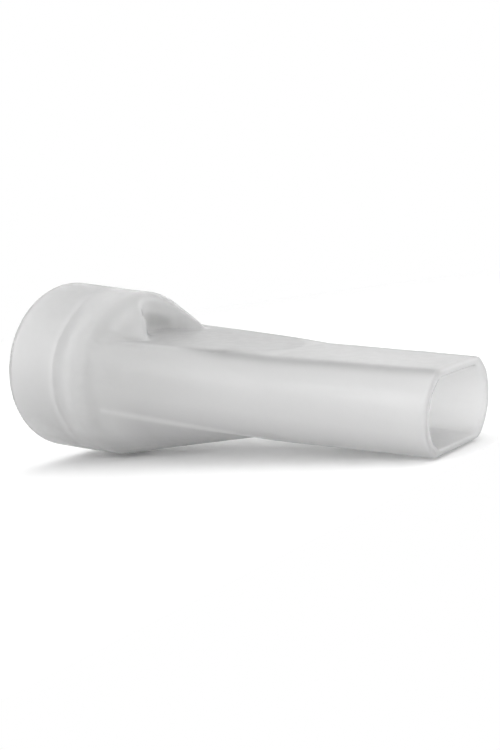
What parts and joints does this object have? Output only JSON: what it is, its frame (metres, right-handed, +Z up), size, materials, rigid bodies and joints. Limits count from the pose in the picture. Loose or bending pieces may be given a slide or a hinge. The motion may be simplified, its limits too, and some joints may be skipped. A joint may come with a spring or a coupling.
{
  "type": "nasal aspirator suction nozzle",
  "caption": "Frosted plastic suction nozzle: round push-on socket with a pull-out filter cartridge, thumb flat, and a flattened tube that ends at the mouth.",
  "frame": {"origin": "centre of the socket's open end, on the socket's axis", "axes": "+X along the socket's axis towards the mouth of the tube, +Z up towards the thumb flat, +Y to the left when seen from the socket end"},
  "size_m": [0.076, 0.0294, 0.0294],
  "materials": {
    "frosted_plastic": "frosted translucent, natural",
    "white_plastic": "satin",
    "filter_foam": "open-cell foam",
    "ring_plastic": "satin",
    "seal_rubber": "translucent silicone"
  },
  "bodies": {
    "nozzle": {"nozzle_shell": "frosted_plastic"},
    "cartridge": {"filter_cage": "white_plastic", "foam_filter": "filter_foam", "snap_ring": "ring_plastic", "cage_seal": "seal_rubber"}
  },
  "joints": [
    {"name": "cartridge_pull", "type": "slide", "parent": "nozzle", "child": "cartridge", "axis": [-1, 0, 0], "range_m": [0, 0.03]}
  ]
}
